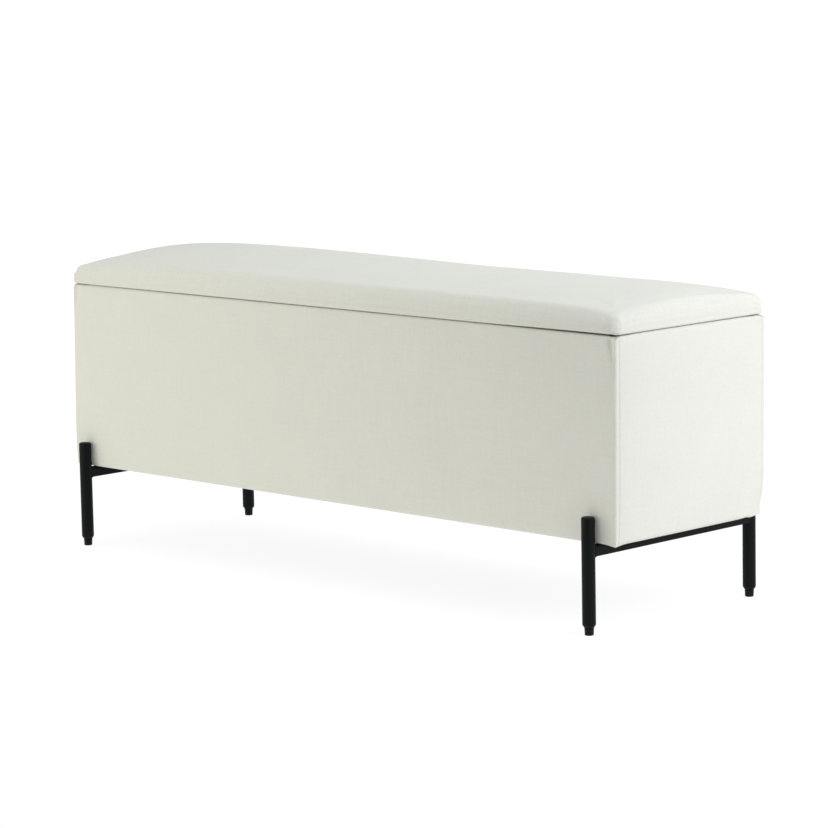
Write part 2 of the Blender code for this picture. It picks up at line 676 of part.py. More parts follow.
def build():
    clear_scene()
    cloth = make_material("ivory_weave", (0.74, 0.73, 0.66), 0.95)
    inner_cloth = make_material("inner_cloth", (0.10, 0.10, 0.10), 0.95)
    foam = make_material("foam", (0.80, 0.74, 0.52), 0.9)
    wood = make_material("plywood", (0.62, 0.46, 0.28), 0.7)
    steel = make_material("black_steel", (0.010, 0.011, 0.012), 0.45, 0.3)
    plastic = make_material("black_plastic", (0.012, 0.012, 0.012), 0.5)
    zinc = make_material("zinc_steel", (0.55, 0.55, 0.53), 0.35, 1.0)
    chrome = make_material("chrome", (0.75, 0.75, 0.76), 0.12, 1.0)
    rubber = make_material("rubber", (0.03, 0.03, 0.03), 0.85)

    lid_pivot = make_pivot("lid_pivot", Vector((0, HINGE_Y, HINGE_Z)))
    box_walls(wood)
    bottom_panel(wood)
    corner_blocks(wood)
    box_pads(foam)
    box_cover(cloth)
    lining(inner_cloth)
    dust_cover(inner_cloth)
    lid_board(wood, lid_pivot)
    lid_foam(foam, lid_pivot)
    lid_cover(cloth, lid_pivot)
    lid_lining(inner_cloth, lid_pivot)
    lid_bumpers(rubber, lid_pivot)
    hinges(zinc, lid_pivot)
    gas_struts(zinc, steel, chrome, lid_pivot)
    steel_frame(steel, plastic, zinc)


build()
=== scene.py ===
import math

import bmesh
import bpy
import numpy as np
from mathutils import Matrix, Vector, noise


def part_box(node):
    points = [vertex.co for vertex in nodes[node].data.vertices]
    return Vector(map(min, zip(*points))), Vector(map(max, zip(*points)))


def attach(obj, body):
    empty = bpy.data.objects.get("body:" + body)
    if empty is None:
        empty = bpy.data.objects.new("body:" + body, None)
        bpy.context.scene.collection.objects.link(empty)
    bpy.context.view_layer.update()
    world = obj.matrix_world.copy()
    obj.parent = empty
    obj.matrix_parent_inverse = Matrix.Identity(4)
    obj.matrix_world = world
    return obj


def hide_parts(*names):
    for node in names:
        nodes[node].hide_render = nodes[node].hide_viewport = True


# Looks of the upholstered storage bench, built round its CAD frame.
# Metres, +Z up, the front faces -Y, the origin is on the floor under the middle.

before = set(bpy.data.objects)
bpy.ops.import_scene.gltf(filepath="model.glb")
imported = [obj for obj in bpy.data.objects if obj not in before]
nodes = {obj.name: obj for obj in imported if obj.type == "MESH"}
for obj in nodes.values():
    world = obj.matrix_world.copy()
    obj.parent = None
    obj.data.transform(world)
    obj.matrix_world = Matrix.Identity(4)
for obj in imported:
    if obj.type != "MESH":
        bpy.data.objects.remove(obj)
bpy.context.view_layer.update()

# ---- measures

FIT = 0.0003               # gap between pieces that touch
SKIN = 0.0012              # thickness of the cover cloth

# Box: sizes read from the frame
BOX_LOW, BOX_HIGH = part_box("box_cover")
PANEL_LOW, PANEL_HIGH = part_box("back_panel")
LINING_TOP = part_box("box_lining")[1].z
RIM = BOX_HIGH.z
PANEL_INSET = BOX_HIGH.y - PANEL_HIGH.y - FIT
LIP_INSET = BOX_HIGH.y - PANEL_LOW.y + FIT
HEM_WIDTH = 0.028          # cover folded under the bottom

# Box: shape of the cover
BOX_CORNER = 0.0062        # radius of the upright edges
HEM_TURN = 0.007           # radius of the bottom edge
RIM_TURN = 0.0045          # radius of the rim's outer edge
LIP_TURN = 0.0015          # radius of the rim's inner edge
EDGE_INSET = 0.0027        # how far the faces' edges lie behind the frame's face
BULGE = 0.0036             # how far the middle of a face stands out from its edges
BULGE_POWERS = (14, 5, 5)  # flatness of the bulge: along the front, across an end, up
LEAN_LEFT = 0.0035         # how far the left end leans in at the rim
LEAN_RIGHT = 0.0031        # how far the right end leans out there
LEAN_BACK = 0.0026         # how far the front leans back there, at its left end
LEAN_REACH = 0.12          # how far from an end its lean begins
LEAN_FADE = 0.011          # width of the rim over which the leans end
TUCK_FRONT = 0.0030        # how far the bottom corners are drawn in
TUCK_REAR = 0.0098
TUCK_HEIGHT = 0.065
TUCK_REACH = 0.030
CORNER_SAG = 0.0032        # the bottom corners hang this much lower
SAG_REACH = 0.018
SAG_HEIGHT = 0.03          # how far up the cover the sag begins
SAG_FADE = 0.012           # and the width at the hem's inner edge over which it ends
RIM_PUFF = 0.0007          # the padding stands up along the rim's outer edge
PUFF_FROM_CORNER = 0.030   # from this far from a corner
RIM_DROP = 0.0040          # the rim's corners lie this much lower
DROP_REACH = 0.009         # along the cloth from the corner
RIM_FLAT = 0.008           # how far in on the rim puff and drop begin to end
RIM_FADE = 0.006           # and the width over which they do
SEAM_OFFSET = 0.0048       # seam on the end faces, from the end of the corner's turn
SEAM_DEPTH = 0.0008
SEAM_WIDTH = 0.0007
SEAM_COLUMNS = (-2.4, -1.6, -0.8, 0, 0.8, 1.6, 2.4)     # points across the seam, in its widths
DART_DEPTH = 0.0048        # hollow where the cloth is folded over at the rim's corners
DART_HEIGHT = 0.060
DART_START = 0.016         # its distance from the corner at the rim
DART_CLOSING = 0.8         # share of that distance that it loses on its way down
DART_ONSET = 9             # how suddenly it begins at the rim
DART_FOLD = 0.0026         # its width on the fold's side
DART_SLOPE = 0.0075        # its width on the corner's side
WAVE = 0.00035             # unevenness of the padding
WAVE_SIZE = 0.11
WAVE_CLEAR = 0.004         # none of it is this near to the rim
WAVE_RIM_FADE = 0.03       # and it grows over these heights, down from there and up from the hem
WAVE_HEM_FADE = 0.02

# Lid: sizes read from the frame
LID_LOW, LID_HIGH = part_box("lid_cover")
BOARD_LOW, BOARD_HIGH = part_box("lid_board")
LID_X, LID_Y = LID_HIGH.x, LID_HIGH.y
BOARD_GAP = LID_X - BOARD_HIGH.x - FIT
HINGE_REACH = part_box("hinge_right_lid_leaf")[1].x + 0.015   # the cloth is held down to here

# Lid: shape of the cushion
LID_CORNER = 0.0155
LID_CORNER_FLOOR = 0.010   # radius that the corners keep further in
LID_HEM = 0.030
LID_TURN = 0.0040          # radius of the lower edge
LID_DROOP = 0.0019         # the cloth's lower edge hangs below the board's face
FACE_TOP = 0.0085          # upright part of the lid's sides, above its underside
SHOULDER_FRONT = 0.0195    # width of the turn from side to top, in plan, at the front
SHOULDER_REAR = 0.0105     # and at the back
SHOULDER_POWER = 2.3
SHOULDER_LEFT = 0.55       # the turn is this much narrower at the left end,
SHOULDER_SPAN = 0.1        # over this share of the lid's half length
CORNER_RISE = 0.0276       # height of the corners above the rim
LONG_EDGE_RISE = 0.0115    # extra height halfway along a long edge
SHORT_EDGE_RISE = 0.0120   # extra height halfway along a short edge
CROWN_RISE = 0.0572        # height of the middle above the rim
LENGTH_POWER = 8.8         # flatness of the crown along the bench
DEPTH_POWER = 1.60         # flatness of the crown across the bench
SHORT_EDGE_POWER = 2.3     # and of the short edges
CROWN_LEAN = 0.0060        # the crown is this much fuller on the left than in the middle,
CROWN_SPAN = 1.1           # in a wave this many half lengths long from its middle to its end
LID_LEAN = 0.0050          # how far the cushion's ends lean to the right
LEAN_SHARES = ((0.3, 0.3), (0.6, 0.4))    # left and right: share below the board's top, and added above it
LEAN_RISE = 0.012          # height over which the added share comes in, about the board's top
HEM_LEAN_REACH = 0.02
HINGE_FADE = 0.06          # length past the hinges over which the cloth gets soft
CORNER_FADE = 0.02         # length over which it stands up past a corner
TIGHT_SHARE = 0.6          # at the front's right end, the cloth is this much tighter,
TIGHT_START = 0.5          # from this share of the half length,
TIGHT_SPAN = 0.4           # over this one
PULLS = ((0.0075, 0.34, 0.0011, 0.055), (0.0125, 0.62, 0.0008, 0.035))
PULL_WIDTH = 0.0022
PULL_START = 0.005         # a crease begins this far from the corner
PULL_FADE = 0.012          # and starts to fade this far from it
SIDE_REACH = 0.006         # a point this near to a side belongs to its face
LID_WAVE = WAVE * 1.6
SHELL_CLEARANCE = 0.004    # the outside of the cushion is at least this far above the board

# Lid: the simulation
PRESS_IN = 0.0010          # the cushion starts this far inside its shape before it is blown up
PRESS_HEIGHT = 0.012       # height over which that comes in
HELD_MARGIN = 0.0005       # the cloth is held up to this far above the lower edge's turn
SWELL_CAP = 0.0015         # the furthest that the simulation may move a point
FOAM_STOP = 0.85           # share of a point's inward movement that the foam prevents
FRAMES = 20
CLOTH = {"vertex_group_mass": "held", "quality": 6, "mass": 0.25, "tension_stiffness": 18,
         "compression_stiffness": 18, "shear_stiffness": 6, "bending_stiffness": 0.6,
         "use_pressure": True, "uniform_pressure_force": 4}

# Black steel frame, read from the CAD
LEG_LOW, LEG_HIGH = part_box("leg_front_right")
CAP_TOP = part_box("leg_cap_front_right")[1].z
GLIDE_LOW, GLIDE_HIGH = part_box("glide_front_right")
BAR_LOW, BAR_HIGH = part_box("crossbar_right")
LEG_RADIUS = (LEG_HIGH.x - LEG_LOW.x) / 2
LEG_X = (LEG_HIGH.x + LEG_LOW.x) / 2
LEG_Y = -(LEG_HIGH.y + LEG_LOW.y) / 2
LEG_RINGS = (0.060, 0.110) # heights that split the tube's length
BAR_CORNER = 0.0026
BEAD = 0.0012              # radius of the weld beads
BEAD_RIPPLE = 0.00018
RIPPLE_LENGTH = 0.0021
GLIDE_GROOVE = ((0.0002, 0.0060), (0.0005, 0.0064), (0.0005, 0.0069), (0, 0.0073))  # (inset, height)

# Screws: sizes of the head's cross and dome are shares of the head's own
BRACKET_PLATE = 0.002      # thickness of the struts' brackets
BOX_SCREWS = (0.007, 0.021)    # places along a bracket on the box
LID_SCREW_IN = 0.0065      # distances from a lid bracket's inner side and from its ends
LID_SCREW_END = 0.0075
CROSS_WIDTH = 0.16
CROSS_REACH = 0.62
CROSS_DEPTH = 0.55
DOME = 0.35

SIDES = {"left": -1, "right": 1}
ENDS = {"front": -1, "rear": 1}


# ---- materials

class Finish:
    """A material on the Principled shader, with short calls for the nodes that feed it."""

    def __init__(self, name, colour, roughness, **sockets):
        self.material = bpy.data.materials.new(name)
        self.material.use_nodes = True
        self.tree = self.material.node_tree
        self.shader = self.tree.nodes["Principled BSDF"]
        self.set("Base Color", (*colour, 1))
        self.set("Roughness", roughness)
        for socket, value in sockets.items():
            self.set(socket.replace("_", " "), value)

    def set(self, socket, value):
        self.feed(self.shader.inputs[socket], value)

    def feed(self, socket, value):
        if isinstance(value, bpy.types.NodeSocket):
            self.tree.links.new(value, socket)
        else:
            socket.default_value = value

    def node(self, kind, inputs, **settings):
        node = self.tree.nodes.new(kind)
        for key, value in settings.items():
            setattr(node, key, value)
        for key, value in inputs.items():
            self.feed(node.inputs[key], value)
        return node

    def math(self, operation, first, second=0.0):
        return self.node("ShaderNodeMath", {0: first, 1: second}, operation=operation).outputs[0]

    def times(self, first, second):
        return self.math("MULTIPLY", first, second)

    def total(self, first, *others):
        for other in others:
            first = self.math("ADD", first, other)
        return first

    def place(self):
        """The surface's place in the object, in metres."""
        return self.node("ShaderNodeTexCoord", {}).outputs["Object"]

    def stretched(self, vector, scale):
        node = self.node("ShaderNodeVectorMath", {0: vector, 1: scale}, operation="MULTIPLY")
        return node.outputs["Vector"]

    def noise(self, vector, scale, detail=2.0, roughness=0.5, distortion=0.0):
        inputs = {"Vector": vector, "Scale": scale, "Detail": detail, "Roughness": roughness,
                  "Distortion": distortion}
        return self.node("ShaderNodeTexNoise", inputs).outputs["Fac"]

    def spread(self, value, low=0.3, high=0.7, to_low=0.0, to_high=1.0):
        inputs = {"Value": value, "From Min": low, "From Max": high, "To Min": to_low, "To Max": to_high}
        return self.node("ShaderNodeMapRange", inputs).outputs["Result"]

    def tint(self, factor, first, second):
        node = self.node("ShaderNodeMix", {"Factor": factor}, data_type="RGBA")
        self.feed(node.inputs[6], (*first, 1))
        self.feed(node.inputs[7], (*second, 1))
        return node.outputs[2]

    def paint(self, factor, first, second):
        self.set("Base Color", self.tint(factor, first, second))

    def roughen(self, value, *ends, **to_ends):
        self.set("Roughness", self.spread(value, *ends, **to_ends))

    def shade(self, colour, value):
        """A colour made lighter or darker by a grey value."""
        node = self.node("ShaderNodeVectorMath", {0: colour, "Scale": value}, operation="SCALE")
        return node.outputs["Vector"]

    def bump(self, height, distance, strength=1.0):
        inputs = {"Height": height, "Distance": distance, "Strength": strength}
        self.set("Normal", self.node("ShaderNodeBump", inputs).outputs["Normal"])


def woven_cloth():
    """Off-white plain weave of uneven yarns, whose threads follow the cloth's own directions."""
    pitch = 0.0009
    look = Finish("ivory_weave", (0.66, 0.655, 0.595), 0.92, Sheen_Weight=0.12, Sheen_Roughness=0.5,
                  Specular_IOR_Level=0.2)
    weave = look.node("ShaderNodeUVMap", {}, uv_map="weave").outputs["UV"]
    drift = look.noise(weave, 60.0)
    wander = look.times(look.math("SUBTRACT", drift, 0.5), 0.0012)
    parts = look.node("ShaderNodeSeparateXYZ", {"Vector": weave})
    column, row = [look.math("SINE", look.times(look.total(parts.outputs[axis], wander), math.pi / pitch))
                   for axis in "XY"]

    # Plain weave: in turn, one set of threads lies over the other
    over = look.times(column, row)
    lift = look.spread(over, -1, 1, 0.35, 1.0)
    drop = look.spread(over, -1, 1, 1.0, 0.35)
    warp = look.times(look.math("ABSOLUTE", column), lift)
    weft = look.times(look.math("ABSOLUTE", row), drop)
    threads = look.math("MAXIMUM", warp, weft)

    # Thick places in single yarns, and slower changes over a few yarns, in both sets
    slubs = look.total(*[look.noise(look.stretched(weave, way), 1.0, 2.0, 0.6)
                         for way in ((900, 26, 1), (26, 900, 1))])
    yarns = look.total(*[look.noise(look.stretched(weave, way), 1.0, 2.0, 0.55)
                         for way in ((330, 9, 1), (9, 330, 1))])
    fibres = look.noise(weave, 4200.0, 3.0, 0.7)
    mottle = look.noise(weave, 210.0, 3.0, 0.6)
    patches = look.noise(weave, 9.0, 3.0, 0.6)

    # Colour: the yarns' own uneven tone, with painted shade in the hollows between the threads and a
    # painted highlight on their crests
    yarn_tone_and_painted_thread_shading = look.total(look.spread(slubs, 0.7, 1.3, -0.023, 0.023),
                      look.spread(yarns, 0.7, 1.3, -0.023, 0.023),
                      look.spread(mottle, to_low=-0.020, to_high=0.020),
                      look.spread(patches, to_low=-0.010, to_high=0.010),
                      look.spread(threads, 0.2, 1.0, -0.026, 0.018),
                      look.spread(fibres, to_low=-0.010, to_high=0.010), 1.0)
    warmth = look.tint(look.spread(yarns, 0.75, 1.25), (0.668, 0.678, 0.618), (0.660, 0.662, 0.588))
    look.set("Base Color", look.shade(warmth, yarn_tone_and_painted_thread_shading))

    height = look.total(threads, look.spread(slubs, 0.7, 1.3, -0.12, 0.12),
                        look.spread(yarns, 0.7, 1.3, -0.10, 0.10),
                        look.spread(fibres, to_low=-0.12, to_high=0.12))
    look.bump(height, 0.00022, 0.55)
    look.roughen(threads, 0, 1, 0.98, 0.88)
    return look.material


def non_woven():
    """Dark spun-bonded cloth with bonded dots and loose fibres."""
    look = Finish("inner_cloth", (0.10, 0.10, 0.10), 0.95, Sheen_Weight=0.08, Specular_IOR_Level=0.25)
    place = look.place()
    dots = look.node("ShaderNodeTexVoronoi", {"Vector": place, "Scale": 620.0, "Randomness": 0.25})
    dent = look.spread(dots.outputs["Distance"], 0.15, 0.45)
    fibres = look.noise(look.stretched(place, (1, 1.3, 1)), 1500.0, 4.0, 0.7, 1.5)
    patches = look.noise(place, 22.0, 3.0)
    amount = look.total(look.spread(fibres, to_low=-0.35, to_high=0.45), look.times(dent, 0.4),
                        look.spread(patches, to_low=-0.1, to_high=0.2))
    look.paint(amount, (0.070, 0.070, 0.072), (0.125, 0.124, 0.122))
    look.bump(look.total(dent, fibres), 0.00018, 0.6)
    look.roughen(dent, 0, 1, 0.82, 0.97)
    return look.material


def plywood():
    """Sanded birch plywood with grain along the bench and the layers on its edges."""
    look = Finish("plywood", (0.62, 0.46, 0.28), 0.7, Specular_IOR_Level=0.3)
    place = look.place()
    grain = look.noise(look.stretched(place, (2.2, 60, 60)), 1.0, 5.0, 0.6, 0.6)
    pores = look.noise(look.stretched(place, (60, 1400, 1400)), 1.0)
    bands = look.node("ShaderNodeTexWave", {"Vector": look.stretched(place, (0.6, 1, 1)), "Scale": 9.0,
                                            "Distortion": 3.0, "Detail": 3.0, "Detail Scale": 1.6},
                      bands_direction="Z")
    amount = look.total(look.spread(grain, to_high=0.7), look.spread(pores, 0.4, 0.7, 0.0, 0.3),
                        look.times(bands.outputs["Fac"], 0.25))
    look.paint(amount, (0.68, 0.53, 0.34), (0.50, 0.35, 0.20))
    look.bump(pores, 0.00015, 0.4)
    look.roughen(grain, to_low=0.62, to_high=0.78)
    return look.material


def powder_coat():
    """Satin black powder coat: a fine orange peel, with soft random patches of wear in its gloss."""
    look = Finish("black_steel", (0.0034, 0.0043, 0.0048), 0.45, Specular_IOR_Level=0.09)
    place = look.place()
    peel = look.noise(place, 1100.0)
    grit = look.noise(place, 5200.0, 2.0, 0.6)
    smudge = look.noise(place, 34.0, 4.0, 0.6)
    look.paint(look.spread(grit, 0.35, 0.65), (0.0026, 0.0035, 0.0039), (0.0044, 0.0054, 0.0059))
    height = look.total(peel, look.times(grit, 0.35))
    look.bump(height, 0.00009, 0.45)
    look.roughen(smudge, to_low=0.40, to_high=0.52)
    return look.material


def moulded_plastic():
    look = Finish("black_plastic", (0.0042, 0.0042, 0.0046), 0.5, Specular_IOR_Level=0.12)
    place = look.place()
    spark = look.noise(place, 3600.0, 3.0, 0.65)
    scuff = look.noise(look.stretched(place, (1, 1, 6)), 60.0, 4.0, 0.7)
    look.paint(look.spread(scuff, 0.4, 0.8), (0.0042, 0.0044, 0.0047), (0.0080, 0.0080, 0.0082))
    look.bump(spark, 0.00008, 0.5)
    look.roughen(scuff, to_low=0.44, to_high=0.58)
    return look.material


def zinc_plate():
    """Bright zinc plating on pressed steel, with rolling lines and a faint bloom."""
    look = Finish("zinc_steel", (0.55, 0.55, 0.53), 0.35, Metallic=1.0)
    place = look.place()
    bloom = look.noise(place, 140.0, 4.0, 0.6)
    lines = look.noise(look.stretched(place, (60, 2600, 2600)), 1.0)
    look.paint(look.spread(bloom), (0.60, 0.60, 0.585), (0.47, 0.475, 0.47))
    look.bump(lines, 0.00003, 0.5)
    look.roughen(look.total(bloom, lines), 0.6, 1.4, 0.26, 0.44)
    return look.material


def hard_chrome():
    """Ground rod with the finest lines round it."""
    look = Finish("chrome", (0.75, 0.75, 0.76), 0.1, Metallic=1.0)
    lines = look.noise(look.stretched(look.place(), (40, 5200, 5200)), 1.0)
    look.bump(lines, 0.00001, 0.4)
    look.roughen(lines, to_low=0.07, to_high=0.16)
    return look.material


def soft_rubber():
    look = Finish("rubber", (0.03, 0.03, 0.03), 0.85, Specular_IOR_Level=0.3)
    place = look.place()
    bloom = look.noise(place, 420.0, 4.0, 0.7)
    look.paint(look.spread(bloom), (0.026, 0.026, 0.026), (0.042, 0.041, 0.040))
    look.bump(bloom, 0.0001, 0.4)
    look.roughen(bloom, to_low=0.78, to_high=0.9)
    return look.material


FINISHES = dict(ivory_weave=woven_cloth(), inner_cloth=non_woven(), plywood=plywood(),
                black_steel=powder_coat(), black_plastic=moulded_plastic(), zinc_steel=zinc_plate(),
                chrome=hard_chrome(), rubber=soft_rubber())


def dress_frame():
    """Give each CAD node that stays its finished material, by the slot that it names."""
    for node in nodes.values():
        for slot in node.material_slots:
            name = slot.material.name.split(".")[0] if slot.material else ""
            if name in FINISHES:
                slot.material = FINISHES[name]


# ---- mesh helpers

def smoothed(value):
    """0 to 1 with a soft start and a soft end."""
    value = np.clip(value, 0, 1)
    return value * value * (3 - 2 * value)


def new_object(name, data):
    item = bpy.data.objects.new(name, data)
    bpy.context.scene.collection.objects.link(item)
    return item


def add_piece(name, mesh, slot, body, replaced=()):
    """Make a piece of a mesh drawn in the frame's coordinates."""
    mesh.name = name
    mesh.shade_smooth()
    mesh.set_sharp_from_angle(angle=math.radians(40))
    mesh.materials.append(FINISHES[slot])
    piece = new_object(name, mesh)
    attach(piece, body)
    if replaced:
        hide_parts(*replaced)
    return piece


def points_of(mesh, field="co"):
    """The places of a mesh's points, or another three numbers that each point has."""
    values = np.empty(len(mesh.vertices) * 3)
    mesh.vertices.foreach_get(field, values)
    return values.reshape(-1, 3)


def normals_of(mesh):
    return points_of(mesh, "normal")


def set_points(mesh, points):
    mesh.vertices.foreach_set("co", points.ravel())
    mesh.update()


def lengths_along(path):
    """Length of a path of points up to each of them."""
    steps = np.linalg.norm(np.diff(np.array(path), axis=0), axis=1)
    return np.concatenate([[0], np.cumsum(steps)])


def stops(half, fine, coarse, growth=1.12):
    """Places from -half to half, close together at both ends and further apart between them."""
    steps = [fine]
    while sum(steps) < half:
        steps.append(min(steps[-1] * growth, coarse))
    reach = np.concatenate([[0], np.cumsum(steps)])
    reach *= half / reach[-1]
    return np.concatenate([reach[:-1] - half, half - reach[::-1]])


def arc(middle, height, radius, start, end, steps, outward=-1):
    """Points on a turn of a profile; 0 degrees points outwards and 90 up."""
    angles = [math.radians(start + (end - start) * i / steps) for i in range(steps + 1)]
    return [(middle + outward * radius * math.cos(angle), height + radius * math.sin(angle))
            for angle in angles]


class Outline:
    """Columns round a rounded rectangle, from the front-left corner's middle, front side first."""

    def __init__(self, half_x, half_y, radius, fine, coarse, turn_steps, seams=(), floor=0.0004):
        self.radius = radius
        self.floor = floor
        self.reach = np.array([half_x - radius, half_y - radius])
        half_turn = turn_steps // 2
        step = math.pi / 2 / turn_steps
        centres, angles, spots_of, self.counts = [], [], [], []
        for side in range(4):
            run, off = (self.reach if side % 2 == 0 else self.reach[::-1])
            straight = stops(run, fine, coarse)
            if side % 2:
                at_seams = [(seam - run, run - seam) for seam in seams]
                straight = np.unique(np.concatenate([straight, *at_seams]))
            facing = (side - 1) * math.pi / 2
            spots = [-run] * half_turn + list(straight) + [run] * (half_turn - 1)
            steps = [*range(-half_turn, 0), *[0] * len(straight), *range(1, half_turn)]
            c, s = ((1, 0), (0, 1), (-1, 0), (0, -1))[side]
            centres += [(c * spot + s * off, s * spot - c * off) for spot in spots]
            angles += [facing + i * step for i in steps]
            spots_of += [spot / run for spot in spots]
            self.counts.append(len(spots))
        self.centres = np.array(centres)
        self.normals = np.stack([np.cos(angles), np.sin(angles)], axis=1)
        self.spots = np.array(spots_of)
        self.side = np.repeat(np.arange(4), self.counts)
        self.size = len(self.centres)
        edge = self.at(0.0)
        self.run = lengths_along([*edge, edge[0]])

    def at(self, inset):
        """The columns' (x, y), set in by one depth, or by a depth for each column."""
        inset = np.broadcast_to(inset, (self.size,))
        radius = np.maximum(self.radius - inset, self.floor)
        shrink = (inset - (self.radius - radius))[:, None]
        return self.centres * (1 - shrink / self.reach) + self.normals * radius[:, None]

    def ring(self, inset, height):
        """The columns' (x, y, z) at one height, or at a height for each column."""
        return np.column_stack([self.at(inset), np.broadcast_to(height, (self.size,))])

    def from_corner(self):
        """Each column's distance from the nearest upright edge's middle, along the cloth."""
        starts = np.cumsum([0] + self.counts)
        corner_runs = self.run[starts]
        return np.abs(self.run[:-1, None] - corner_runs[None, :]).min(axis=1)


def band(below, above, columns):
    """Quads between two rings of points, each given by the number of its first point."""
    return [(below + i, below + (i + 1) % columns, above + (i + 1) % columns, above + i)
            for i in range(columns)]


def ring_quads(rows, columns, closed):
    """Quads between rings of points that are numbered ring by ring."""
    quads = []
    for row in range(rows if closed else rows - 1):
        quads += band(row * columns, (row + 1) % rows * columns, columns)
    return quads


def ring_weave(rows, columns, closed, run, rise):
    """The cloth's own coordinates at the corners of ring_quads, in metres."""
    corners = []
    for row in range(rows if closed else rows - 1):
        low, high = rise[row], rise[row + 1]
        for column in range(columns):
            left, right = run[column], run[column + 1]
            corners += [(left, low), (right, low), (right, high), (left, high)]
    return corners


def make_mesh(points, faces, weave=None):
    """A closed mesh with its faces pointing out, and its weave coordinates where it is cloth."""
    mesh = bpy.data.meshes.new("mesh")
    mesh.from_pydata([tuple(point) for point in points], [], faces)
    if weave is not None:
        layer = mesh.uv_layers.new(name="weave")
        layer.data.foreach_set("uv", np.array(weave, dtype=np.float32).ravel())
    work = bmesh.new()
    work.from_mesh(mesh)
    bmesh.ops.recalc_face_normals(work, faces=work.faces)
    work.to_mesh(mesh)
    work.free()
    return mesh


def unevenness(points, size, seed):
    """Slow random waves over a surface, from -1 to 1."""
    offset = Vector((seed, 2 * seed, 3 * seed))
    return np.array([noise.noise(Vector(point) / size + offset) for point in points])


# ---- box upholstery

def box_profile():
    """(inset, height) from the hem's inner edge, round the outside and down inside the rim."""
    low = BOX_LOW.z
    lip = LIP_INSET + SKIN
    face_low, face_high = low + HEM_TURN, RIM - RIM_TURN
    middle = (face_low + face_high) / 2
    profile = [(HEM_WIDTH - (HEM_WIDTH - HEM_TURN) * i / 5, low) for i in range(5)]
    profile += arc(HEM_TURN, face_low, HEM_TURN, -90, 0, 6)
    profile += [(0, middle + z) for z in stops((face_high - face_low) / 2, 0.0028, 0.0058)[1:-1]]
    profile += arc(RIM_TURN, face_high, RIM_TURN, 0, 90, 6)
    profile += [(RIM_TURN + (lip - LIP_TURN - RIM_TURN) * i / 5, RIM) for i in range(1, 5)]
    turn = arc(lip - LIP_TURN, RIM - LIP_TURN, LIP_TURN, 90, 180, 4)
    profile += turn
    start = turn[-1][1]
    return profile + [(lip, start + (LINING_TOP - start) * i / 6) for i in range(1, 7)]


def box_relief(outline, height):
    """How far the outside of the box lies inside the frame's face, for one height."""
    low, high = BOX_LOW.z, RIM
    level = 2 * (height - low) / (high - low) - 1
    along, across, up = BULGE_POWERS
    power = np.where(outline.side % 2 == 0, along, across)
    swell = (1 - np.abs(outline.spots) ** power) * (1 - abs(level) ** up)
    relief = EDGE_INSET - BULGE * swell

    corner = outline.from_corner()
    tuck = max(0.0, 1 - (height - low) / TUCK_HEIGHT) ** 2
    most = np.where(outline.centres[:, 1] < 0, TUCK_FRONT, TUCK_REAR)
    relief = relief + most * tuck * np.exp(-(corner / TUCK_REACH) ** 2)

    # The dart runs down from the rim to the upright edge, on the front and the back
    fall = (high - height) / DART_HEIGHT
    if fall < 1:
        off = corner - DART_START * (1 - DART_CLOSING * fall)
        dart = np.exp(-(off / np.where(off > 0, DART_FOLD, DART_SLOPE)) ** 2)
        dart = dart * (1 - fall) * min(1, fall * DART_ONSET)
        relief = relief + np.where(outline.side % 2 == 0, DART_DEPTH * dart, 0)

    seam = corner - (BOX_CORNER * math.pi / 4 + SEAM_OFFSET)
    groove = SEAM_DEPTH * np.exp(-(seam / SEAM_WIDTH) ** 2)
    return relief + np.where(outline.side % 2 == 1, groove, 0)


def lean(plan, inset, height):
    """Shift of the padding, from nothing at the bottom to most at the rim.

    The ends lean along the bench, and the front leans back at its left end."""
    x, y = plan.T
    left = LEAN_LEFT * smoothed((LEAN_REACH - BOX_HIGH.x - x) / LEAN_REACH)
    right = LEAN_RIGHT * smoothed((LEAN_REACH - BOX_HIGH.x + x) / LEAN_REACH)
    back = LEAN_BACK * smoothed((2 * LEAN_REACH - BOX_HIGH.x - x) / (2 * LEAN_REACH))
    back = back * smoothed(-y / BOX_HIGH.y)
    share = (height - BOX_LOW.z) / (RIM - BOX_LOW.z) * (1 - smoothed((inset - RIM_TURN) / LEAN_FADE))
    return np.column_stack([left + right, back]) * share


